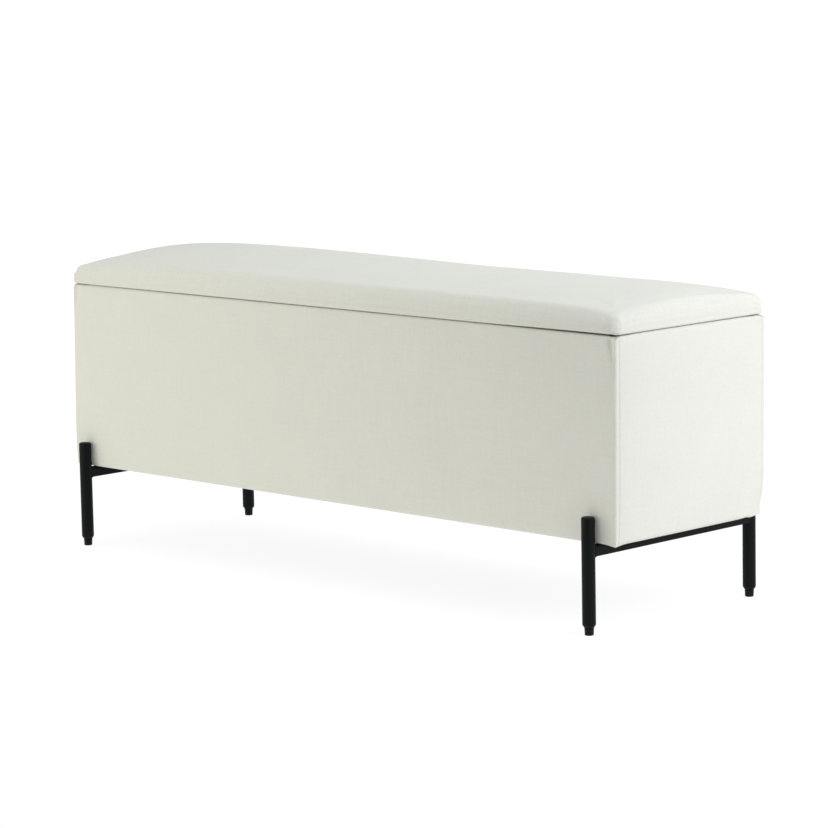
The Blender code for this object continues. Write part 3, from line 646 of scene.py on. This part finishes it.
def box_upholstery():
    """The padded cover of the box as one closed body, from its outside in to the wooden panels."""
    seams = [SEAM_OFFSET + SEAM_WIDTH * step for step in SEAM_COLUMNS]
    outline = Outline(BOX_HIGH.x, BOX_HIGH.y, BOX_CORNER, fine=0.0011, coarse=0.0075, turn_steps=10,
                      seams=seams)
    outer = box_profile()
    puff = RIM_PUFF * softness(outline, PUFF_FROM_CORNER)
    drop = RIM_DROP * np.exp(-(outline.from_corner() / DROP_REACH) ** 2)
    sag = CORNER_SAG * np.exp(-(outline.from_corner() / SAG_REACH) ** 2)
    rings = []
    for inset, height in outer:
        depth = inset
        if inset < LIP_INSET and (inset < RIM_TURN or height < RIM - RIM_TURN):
            # The relief fades out on the underside and ends at the flat of the rim
            fade = smoothed((HEM_WIDTH - inset) / (HEM_WIDTH - HEM_TURN)) if height < RIM - RIM_TURN else 1
            depth = inset + box_relief(outline, height) * fade
        plan = outline.at(depth)
        plan += lean(plan, inset, height)
        on_rim = smoothed((height - RIM + RIM_TURN) / RIM_TURN)
        on_rim = on_rim * (1 - smoothed((inset - RIM_FLAT) / RIM_FADE))
        on_hem = smoothed((BOX_LOW.z + SAG_HEIGHT - height) / SAG_HEIGHT)
        on_hem = on_hem * smoothed((HEM_WIDTH - inset) / SAG_FADE)
        rings.append(np.column_stack([plan, height + (puff - drop) * on_rim - sag * on_hem]))
    inner = [(LIP_INSET, LINING_TOP + FIT), (LIP_INSET, RIM - SKIN), (PANEL_INSET, RIM - SKIN),
             (PANEL_INSET, PANEL_LOW.z - FIT), (HEM_WIDTH, PANEL_LOW.z - FIT)]
    rings += [outline.ring(*point) for point in inner]

    points = np.concatenate(rings)
    profile = outer + inner
    rise = lengths_along(profile + profile[:1])
    faces = ring_quads(len(profile), outline.size, True)
    weave = ring_weave(len(profile), outline.size, True, outline.run, rise)
    mesh = make_mesh(points, faces, weave)

    waves = np.zeros(len(points))
    outside = len(outer) * outline.size
    waves[:outside] = WAVE * unevenness(points[:outside], WAVE_SIZE, 5)
    calm = smoothed((RIM - WAVE_CLEAR - points[:, 2]) / WAVE_RIM_FADE)
    calm = calm * smoothed((points[:, 2] - BOX_LOW.z) / WAVE_HEM_FADE)
    set_points(mesh, points + normals_of(mesh) * (waves * calm)[:, None])
    replaced = ("box_cover", "front_pad", "back_pad", "left_pad", "right_pad")
    piece = add_piece("box_upholstery", mesh, "ivory_weave", "bench", replaced)


# ---- lid cushion

def crown_height(x, y, turn=1.0):
    """Height of the cushion's outside: full in the middle, lowest at the corners.

    turn is 0 at the lid's edge and 1 past its shoulder."""
    edge_x = np.clip(np.abs(x) / LID_X, 0, 1)
    edge_y = np.clip(np.abs(y) / LID_Y, 0, 1)
    along = 1 - edge_x ** LENGTH_POWER
    across = 1 - edge_y ** DEPTH_POWER
    short_edge = SHORT_EDGE_RISE * (1 - edge_y ** SHORT_EDGE_POWER)
    edges = LONG_EDGE_RISE * along * (1 - across) + short_edge * (1 - along)
    wave = CROWN_LEAN * np.sin(math.pi * x / (CROWN_SPAN * LID_X))
    crown = (CROWN_RISE - CORNER_RISE - wave) * along * across
    face = LID_LOW.z + FACE_TOP
    return face + (RIM + CORNER_RISE + edges + crown - face) * turn


def patch(ring, counts, first, start):
    """Fill a four-sided ring of points with a grid: the new points, and all the grid's numbers.

    The ring's own points are numbered from first, and the new ones from start."""
    across, up = counts[0], counts[1]
    total = len(ring)
    front = ring[:across + 1]
    right = ring[across:across + up + 1]
    rear = ring[across + up:2 * across + up + 1][::-1]
    left = ring[[(total - j) % total for j in range(up + 1)]]
    u = ((front[:, 0] - front[0, 0]) / (front[-1, 0] - front[0, 0]))[:, None, None]
    v = ((right[:, 1] - right[0, 1]) / (right[-1, 1] - right[0, 1]))[None, :, None]
    grid = (1 - v) * front[:, None] + v * rear[:, None] + (1 - u) * left[None] + u * right[None]
    grid -= ((1 - u) * (1 - v) * front[0] + u * (1 - v) * front[-1] + (1 - u) * v * rear[0]
             + u * v * rear[-1])

    numbers = np.zeros((across + 1, up + 1), dtype=int)
    numbers[:, 0] = first + np.arange(across + 1)
    numbers[-1, :] = first + np.arange(across, across + up + 1)
    numbers[:, -1] = first + np.arange(across + up, 2 * across + up + 1)[::-1]
    numbers[0, :] = [first + (total - j) % total for j in range(up + 1)]
    numbers[1:-1, 1:-1] = start + np.arange((across - 1) * (up - 1)).reshape(across - 1, up - 1)
    return grid[1:-1, 1:-1].reshape(-1, 2), numbers


def grid_quads(numbers):
    corners = (numbers[:-1, :-1], numbers[1:, :-1], numbers[1:, 1:], numbers[:-1, 1:])
    return [tuple(quad) for quad in np.stack(corners, axis=-1).reshape(-1, 4).tolist()]


def lid_insets():
    """Depths of the rings from the top of the shoulder out to the side."""
    steps = 11
    return [SHOULDER_FRONT * (1 - math.sin(math.pi / 2 * i / steps)) for i in range(steps + 1)]


def lid_sides():
    """(inset, height, share of the droop) from the top of the upright side down and under the hem."""
    low = LID_LOW.z
    high = low + FACE_TOP
    sides = [(0, high + (low + LID_TURN - high) * i / 3, i / 3) for i in range(1, 3)]
    sides += [(*point, 1.0) for point in arc(LID_TURN, low + LID_TURN, LID_TURN, 0, -90, 4)]
    sides += [(LID_TURN + (LID_HEM - LID_TURN) * i / 6, low, max(0.0, 1 - i / 2)) for i in range(1, 7)]
    return sides


def softness(outline, from_corner=0.0):
    """1 where the cloth stands out into the line between box and lid, 0 along the hinges."""
    x = outline.at(0.0)[:, 0]
    clear_of_hinges = np.where(outline.side == 2, smoothed((np.abs(x) - HINGE_REACH) / HINGE_FADE), 1)
    rightward = smoothed((x - TIGHT_START * LID_X) / (TIGHT_SPAN * LID_X))
    tight = 1 - TIGHT_SHARE * rightward * (outline.side == 0)
    corner = smoothed((outline.from_corner() - from_corner) / CORNER_FADE) if from_corner else 1.0
    return clear_of_hinges * tight * corner


def inflate(piece, held, cap):
    """Blow a piece up as cloth round its held points, and keep the shape it takes.

    The foam under the cloth lets it give way only a little."""
    rest = points_of(piece.data)
    group = piece.vertex_groups.new(name="held")
    group.add([int(i) for i in np.flatnonzero(held)], 1.0, "REPLACE")
    cloth = piece.modifiers.new("Cloth", "CLOTH")
    for setting, value in CLOTH.items():
        setattr(cloth.settings, setting, value)
    cloth.settings.effector_weights.gravity = 0
    cloth.collision_settings.use_collision = False
    scene = bpy.context.scene
    cloth.point_cache.frame_start = 1
    cloth.point_cache.frame_end = FRAMES
    for step in range(1, FRAMES + 1):
        scene.frame_set(step)
    shown = piece.evaluated_get(bpy.context.evaluated_depsgraph_get())
    move = points_of(shown.data) - rest
    outward = normals_of(piece.data)
    along = (move * outward).sum(axis=1, keepdims=True)
    move -= outward * np.minimum(along, 0) * FOAM_STOP
    piece.modifiers.remove(cloth)
    piece.vertex_groups.clear()
    scene.frame_set(1)
    length = np.linalg.norm(move, axis=1, keepdims=True)
    soft = cap * np.tanh(length / cap) / np.maximum(length, 1e-9)
    set_points(piece.data, rest + move * soft)


def lid_pulls(points):
    """Depth of the creases where the cloth is pulled round the lid's lower corners."""
    from_end = LID_X - np.abs(points[:, 0])
    from_face = LID_Y - np.abs(points[:, 1])
    height = points[:, 2] - LID_LOW.z
    on_front = smoothed((SIDE_REACH - from_face) / SIDE_REACH)
    on_end = smoothed((SIDE_REACH - from_end) / SIDE_REACH)
    depth = np.zeros(len(points))
    # Each crease: its height where it leaves the corner, its slope, depth and length
    for start, slope, deep, long in PULLS:
        for away, facing, share in ((from_end, on_front, 1.0), (from_face, on_end, 0.6)):
            line = start + slope * np.clip(away - SIDE_REACH, 0, None)
            crease = np.exp(-((height - line) / PULL_WIDTH) ** 2)
            fade = smoothed((away - PULL_START) / SIDE_REACH) * (1 - smoothed((away - PULL_FADE) / long))
            depth += share * deep * crease * fade * facing
    return depth


def lid_lean(points):
    """Shift of the cushion's outside along the bench, less below the top of the board."""
    from_end = LID_X - np.abs(points[:, 0])
    reach = np.where(points[:, 2] < LID_LOW.z + LID_TURN, HEM_LEAN_REACH, LEAN_REACH)
    above_board = smoothed((points[:, 2] - BOARD_HIGH.z + LEAN_RISE / 2) / LEAN_RISE)
    left, right = [base + added * above_board for base, added in LEAN_SHARES]
    return LID_LEAN * np.where(points[:, 0] < 0, left, right) * smoothed(1 - from_end / reach)


def lid_cushion():
    """Foam and cover of the lid as one closed body round the lid's board."""
    outline = Outline(LID_X, LID_Y, LID_CORNER, fine=0.0024, coarse=0.0078, turn_steps=8,
                      floor=LID_CORNER_FLOOR)
    rings = []
    rearward = smoothed(0.5 + 0.5 * outline.centres[:, 1] / outline.reach[1])
    width = SHOULDER_FRONT + (SHOULDER_REAR - SHOULDER_FRONT) * rearward
    leftward = smoothed((-outline.centres[:, 0] / outline.reach[0] - 1 + SHOULDER_SPAN) / SHOULDER_SPAN)
    width = width * (1 - (1 - SHOULDER_LEFT) * leftward * (1 - rearward))
    for inset in lid_insets():
        plan = outline.at(inset)
        turn = (1 - (1 - np.minimum(inset / width, 1)) ** SHOULDER_POWER) ** (1 / SHOULDER_POWER)
        rings.append(np.column_stack([plan, crown_height(plan[:, 0], plan[:, 1], turn)]))
    droop = LID_DROOP * softness(outline)
    for inset, height, share in lid_sides():
        rings.append(outline.ring(inset, height - share * droop))
    ring_count, columns = len(rings), outline.size
    start = ring_count * columns
    plan, top_grid = patch(rings[0][:, :2], outline.counts, 0, start)
    top = np.column_stack([plan, crown_height(plan[:, 0], plan[:, 1])])
    outer_count = start + len(top)
    for part in rings + [top]:
        part[:, 0] += lid_lean(part)

    # Inner surface, round the board
    base, gap, bevel = BOARD_LOW.z - FIT, BOARD_GAP, 0.0032
    inner = [(LID_HEM, base), (gap + bevel, base), (gap, base + bevel), (gap, BOARD_HIGH.z + FIT)]
    rings += [outline.ring(*point) for point in inner]
    last_ring = outer_count + (len(inner) - 1) * columns
    plan, roof_grid = patch(rings[-1][:, :2], outline.counts, last_ring, last_ring + columns)
    roof = np.column_stack([plan, np.full(len(plan), inner[-1][1])])
    points = np.concatenate(rings[:ring_count] + [top] + rings[ring_count:] + [roof])

    faces = ring_quads(ring_count, columns, False)
    lengths = [(inset, RIM + CORNER_RISE) for inset in lid_insets()] + [side[:2] for side in lid_sides()]
    weave = ring_weave(ring_count, columns, False, outline.run, lengths_along(lengths))
    for row in range(len(inner)):
        below = start - columns if row == 0 else outer_count + (row - 1) * columns
        faces += band(below, outer_count + row * columns, columns)
        for here, ahead in zip(outline.run, outline.run[1:]):
            weave += [(here, 0), (ahead, 0)] * 2
    for grid in (top_grid, roof_grid):
        quads = grid_quads(grid)
        faces += quads
        weave += [tuple(points[k, :2]) for quad in quads for k in quad]
    mesh = make_mesh(points, faces, weave)

    piece = add_piece("lid_cushion", mesh, "ivory_weave", "lid", ("lid_cover", "lid_foam"))
    above = points[:, 2] - LID_LOW.z
    held = np.ones(len(points), dtype=bool)
    held[:outer_count] = above[:outer_count] < LID_TURN + HELD_MARGIN
    press = PRESS_IN * smoothed((above - LID_TURN) / PRESS_HEIGHT) * ~held
    set_points(mesh, points - normals_of(mesh) * press[:, None])
    inflate(piece, held, SWELL_CAP)
    refine(piece)
    fine = points_of(piece.data)
    outside = fine[:, 2] > LID_LOW.z + LID_TURN
    waves = LID_WAVE * unevenness(fine, WAVE_SIZE, 9)
    calm = smoothed((fine[:, 2] - LID_LOW.z) / WAVE_HEM_FADE)
    move = np.where(outside, waves * calm - lid_pulls(fine), 0)
    shell = (np.abs(fine[:, 0]) > BOARD_HIGH.x + FIT) | (np.abs(fine[:, 1]) > BOARD_HIGH.y + FIT)
    shell |= fine[:, 2] > BOARD_HIGH.z + SHELL_CLEARANCE
    set_points(piece.data, fine + normals_of(piece.data) * (move * shell)[:, None])


def refine(piece):
    """One level of subdivision, kept in the mesh."""
    smooth = piece.modifiers.new("Fine", "SUBSURF")
    smooth.levels = 1
    smooth.render_levels = 1
    smooth.boundary_smooth = "PRESERVE_CORNERS"
    shown = piece.evaluated_get(bpy.context.evaluated_depsgraph_get())
    fine = bpy.data.meshes.new_from_object(shown)
    piece.modifiers.remove(smooth)
    coarse = piece.data
    piece.data = fine
    bpy.data.meshes.remove(coarse)


# ---- steel frame

def turned(profile, place, segments=64):
    """A round piece from (radius, height) points, the first and the last of them on its axis."""
    angles = np.arange(segments) * 2 * math.pi / segments
    rings = [np.column_stack([r * np.cos(angles), r * np.sin(angles), np.full(segments, z)])
             for r, z in profile[1:-1]]
    ends = [[(0, 0, profile[0][1])], [(0, 0, profile[-1][1])]]
    points = np.concatenate(rings + ends) + np.array(place)
    faces = ring_quads(len(rings), segments, False)
    bottom, top = len(points) - 2, len(points) - 1
    last = (len(rings) - 1) * segments
    for i in range(segments):
        beside = (i + 1) % segments
        faces.append((i, beside, bottom))
        faces.append((last + i, last + beside, top))
    return make_mesh(points, faces)


def round_piece(name, profile, place, slot, replaced):
    add_piece(name, turned(profile, place), slot, "bench", [replaced])


def leg(end, side, place):
    """A leg's tube, drawn in at its foot."""
    foot, edge = LEG_LOW.z, 0.0006
    neck, shoulder, rise = 0.0073, 0.003, 0.0056
    profile = [(0, foot), (neck - edge, foot)]
    profile += arc(neck - edge, foot + edge, edge, -90, -20, 3, outward=1)
    profile += arc(LEG_RADIUS - shoulder, foot + rise, shoulder, -40, 0, 4, outward=1)
    profile += [(LEG_RADIUS, height) for height in LEG_RINGS]
    profile += arc(LEG_RADIUS - edge / 2, LEG_HIGH.z - edge / 2, edge / 2, 0, 90, 3, outward=1)
    profile += [(0, LEG_HIGH.z)]
    round_piece(f"leg_tube_{end}_{side}", profile, place, "black_steel", f"leg_{end}_{side}")


def leg_top(end, side, place):
    """The plastic cap on a leg, with a rounded edge and a slight dome."""
    low, bevel, turn, dome = LEG_HIGH.z + FIT, 0.0003, 0.0023, 0.0004
    profile = [(0, low), (LEG_RADIUS - bevel, low), (LEG_RADIUS, low + bevel)]
    profile += arc(LEG_RADIUS - turn, CAP_TOP - dome - turn, turn, 0, 80, 6, outward=1)
    profile += [(LEG_RADIUS * 0.55, CAP_TOP - dome / 4), (0, CAP_TOP)]
    round_piece(f"leg_top_{end}_{side}", profile, place, "black_plastic", f"leg_cap_{end}_{side}")


def foot_glide(end, side, place):
    """The plastic glide under a leg, with a groove round it."""
    radius, high = (GLIDE_HIGH.x - GLIDE_LOW.x) / 2, LEG_LOW.z - FIT
    turn, bevel = 0.0014, 0.0004
    profile = [(0, 0), (radius - 0.0022, 0)]
    profile += arc(radius - 0.0018, turn, turn, -90, 0, 4, outward=1)
    profile += [(radius - inset, height) for inset, height in GLIDE_GROOVE]
    profile += [(radius, high - bevel), (radius - bevel, high), (0, high)]
    round_piece(f"foot_{end}_{side}", profile, place, "black_plastic", f"glide_{end}_{side}")


def weld_bead(end, side, x, y_sign):
    """Bead where the crossbar's end is welded round the leg."""
    half_x = (BAR_HIGH.x - BAR_LOW.x) / 2 - BEAD / 2
    half_z = (BAR_HIGH.z - BAR_LOW.z) / 2
    middle = (BAR_HIGH.z + BAR_LOW.z) / 2
    section = Outline(half_x, half_z, BAR_CORNER, fine=0.0006, coarse=0.0009, turn_steps=8).at(0.0)
    reach = LEG_RADIUS + BEAD / 3
    depth = np.sqrt(np.maximum(reach ** 2 - section[:, 0] ** 2, 1e-9))
    path = np.column_stack([x + section[:, 0], y_sign * (LEG_Y - depth), middle + section[:, 1]])
    ahead = np.roll(path, -1, axis=0) - np.roll(path, 1, axis=0)
    ahead /= np.linalg.norm(ahead, axis=1, keepdims=True)
    out = np.column_stack([section[:, 0] / half_x, np.zeros(len(path)), section[:, 1] / half_z])
    out -= ahead * (out * ahead).sum(axis=1, keepdims=True)
    out /= np.linalg.norm(out, axis=1, keepdims=True)
    beside = np.cross(ahead, out)
    size = BEAD + BEAD_RIPPLE * np.sin(lengths_along(path) / RIPPLE_LENGTH * 2 * math.pi)
    rings = []
    sides = 10
    for i in range(sides):
        angle = 2 * math.pi * i / sides
        rings.append(path + size[:, None] * (out * math.cos(angle) + beside * math.sin(angle)))
    faces = ring_quads(sides, len(path), True)
    add_piece(f"weld_{end}_{side}", make_mesh(np.concatenate(rings), faces), "black_steel", "bench")


def steel_frame():
    for side, x_sign in SIDES.items():
        for end, y_sign in ENDS.items():
            place = (x_sign * LEG_X, y_sign * LEG_Y, 0)
            leg(end, side, place)
            leg_top(end, side, place)
            foot_glide(end, side, place)
            weld_bead(end, side, x_sign * LEG_X, y_sign)


# ---- screws

def screw_head(radius, height):
    """Low domed head with a cross recess, round the Z axis, standing on z = 0."""
    spokes, steps = 48, 10
    work = bmesh.new()
    loops = []
    profile = [(radius, 0.0), (radius, height * 0.2)]
    profile += [(radius * (1 - i / steps), height) for i in range(1, steps)]
    for r, z in profile:
        loop = []
        for k in range(spokes):
            angle = 2 * math.pi * k / spokes
            x, y = r * math.cos(angle), r * math.sin(angle)
            level = z if z < height else height * (1 - DOME * (r / radius) ** 2)
            near, far = sorted((abs(x), abs(y)))
            if near < CROSS_WIDTH * radius and far < CROSS_REACH * radius and z == height:
                level -= height * CROSS_DEPTH
            loop.append(work.verts.new((x, y, level)))
        loops.append(loop)
    for lower, upper in zip(loops, loops[1:]):
        for k in range(spokes):
            beside = (k + 1) % spokes
            work.faces.new((lower[k], lower[beside], upper[beside], upper[k]))
    work.faces.new(loops[0])
    centre = work.verts.new((0, 0, height * (1 - CROSS_DEPTH)))
    for k in range(spokes):
        work.faces.new((loops[-1][k], loops[-1][(k + 1) % spokes], centre))
    bmesh.ops.recalc_face_normals(work, faces=work.faces)
    return work


def screws(name, body, radius, height, places):
    """Several heads as one piece; places are (point, direction that the head faces)."""
    joined = bmesh.new()
    for point, facing in places:
        head = screw_head(radius, height)
        turn = Vector((0, 0, 1)).rotation_difference(Vector(facing)).to_matrix().to_4x4()
        head.transform(Matrix.Translation(point) @ turn)
        part = bpy.data.meshes.new("head")
        head.to_mesh(part)
        head.free()
        joined.from_mesh(part)
        bpy.data.meshes.remove(part)
    mesh = bpy.data.meshes.new(name)
    joined.to_mesh(mesh)
    joined.free()
    add_piece(name, mesh, "zinc_steel", body)


def all_screws():
    """Two heads on each of the struts' brackets, in the box and under the lid."""
    box_places, lid_places = [], []
    for side, sign in SIDES.items():
        low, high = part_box(f"strut_{side}_box_bracket")
        plate = sign * (max(abs(low.x), abs(high.x)) - BRACKET_PLATE)
        middle = (low.z + high.z) / 2
        for along in BOX_SCREWS:
            box_places.append((Vector((plate, low.y + along, middle)), (-sign, 0, 0)))
        low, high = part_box(f"strut_{side}_lid_bracket")
        inner = (low.x if sign > 0 else high.x) + sign * LID_SCREW_IN
        for y in (low.y + LID_SCREW_END, high.y - LID_SCREW_END):
            lid_places.append((Vector((inner, y, high.z - BRACKET_PLATE)), (0, 0, -1)))
    screws("box_bracket_screws", "bench", 0.0036, 0.0013, box_places)
    screws("lid_bracket_screws", "lid", 0.0030, 0.0012, lid_places)


# ---- stage, light and camera

def add_stage(name, mesh, colour, glow):
    finish = Finish(name, colour, 1.0, Specular_IOR_Level=0.0, Emission_Color=(1, 1, 1, 1),
                    Emission_Strength=glow)
    mesh.materials.append(finish.material)
    piece = new_object(name, mesh)
    return piece


def backdrop(name, make, colour, glow, **shape):
    work = bmesh.new()
    make(work, radius=90.0, **shape)
    mesh = bpy.data.meshes.new(name)
    work.to_mesh(mesh)
    work.free()
    return add_stage(name, mesh, colour, glow)


def studio():
    """A wide pale floor that runs into a white surround, which only the camera sees."""
    backdrop("floor", bmesh.ops.create_circle, (0.17, 0.17, 0.17), 0.885, cap_ends=True, segments=96)
    surround = backdrop("surround", bmesh.ops.create_uvsphere, (0, 0, 0), 1.05, u_segments=48,
                        v_segments=24)
    for rays in ("diffuse", "glossy", "transmission", "shadow"):
        setattr(surround, f"visible_{rays}", False)
    world = bpy.data.worlds.new("soft_light")
    world.use_nodes = True
    background = world.node_tree.nodes["Background"]
    background.inputs["Color"].default_value = (0.991, 1.014, 1.025, 1)
    background.inputs["Strength"].default_value = 1.0
    bpy.context.scene.world = world


def softbox(name, place, aim, size, power, colour):
    light = bpy.data.lights.new(name, "AREA")
    light.shape = "SQUARE"
    light.size = size
    light.energy = power
    light.color = colour
    lamp = new_object(name, light)
    lamp.location = place
    lamp.rotation_euler = (Vector(aim) - Vector(place)).to_track_quat("-Z", "Y").to_euler()
    lamp.visible_camera = False


def flag(name, low, high):
    """A black screen that keeps light off the bench; the camera doesn't see it."""
    corners = [(low[0], low[1], low[2]), (high[0], high[1], low[2]), (high[0], high[1], high[2]),
               (low[0], low[1], high[2])]
    mesh = bpy.data.meshes.new(name)
    mesh.from_pydata(corners, [], [(0, 1, 2, 3)])
    screen = add_stage(name, mesh, (0, 0, 0), 0)
    screen.visible_camera = False


def lights():
    softbox("key_light", (3.2, 0.3, 2.1), (0.2, 0, 0.4), 1.8, 49, (0.98, 0.955, 1.07))
    softbox("front_fill", (-1.5, -2.2, 0.28), (-0.2, 0, 0.28), 0.6, 8.4, (1.0, 0.81, 0.46))
    flag("front_screen", (0.98, -0.40, 0.10), (0.98, -1.9, 1.5))
    flag("left_screen", (-1.0, -0.1, 0.62), (-1.0, 0.6, 1.15))


CAMERA_AZIMUTH = math.radians(44.85)
CAMERA_PITCH = math.radians(8.39)
CAMERA_ROLL = math.radians(-1.09)
CAMERA_DISTANCE = 5.342
CAMERA_TARGET = Vector((0.0315, 0.0, 0.2513))
CAMERA_LENS = 148.4


def camera():
    a, p = CAMERA_AZIMUTH, CAMERA_PITCH
    back = Vector((math.sin(a) * math.cos(p), -math.cos(a) * math.cos(p), math.sin(p)))
    right = Vector((0, 0, 1)).cross(back).normalized()
    up = back.cross(right)
    c, s = math.cos(CAMERA_ROLL), math.sin(CAMERA_ROLL)
    axes = Matrix((c * right + s * up, c * up - s * right, back)).transposed()
    data = bpy.data.cameras.new("camera")
    data.lens = CAMERA_LENS
    data.sensor_width = 36
    data.clip_end = 400
    seen = new_object("camera", data)
    seen.matrix_world = Matrix.Translation(CAMERA_TARGET + back * CAMERA_DISTANCE) @ axes.to_4x4()
    bpy.context.scene.camera = seen


# ---- all of it

camera()
studio()
lights()
bpy.context.scene.view_settings.view_transform = "Standard"
dress_frame()
box_upholstery()
lid_cushion()
steel_frame()
all_screws()
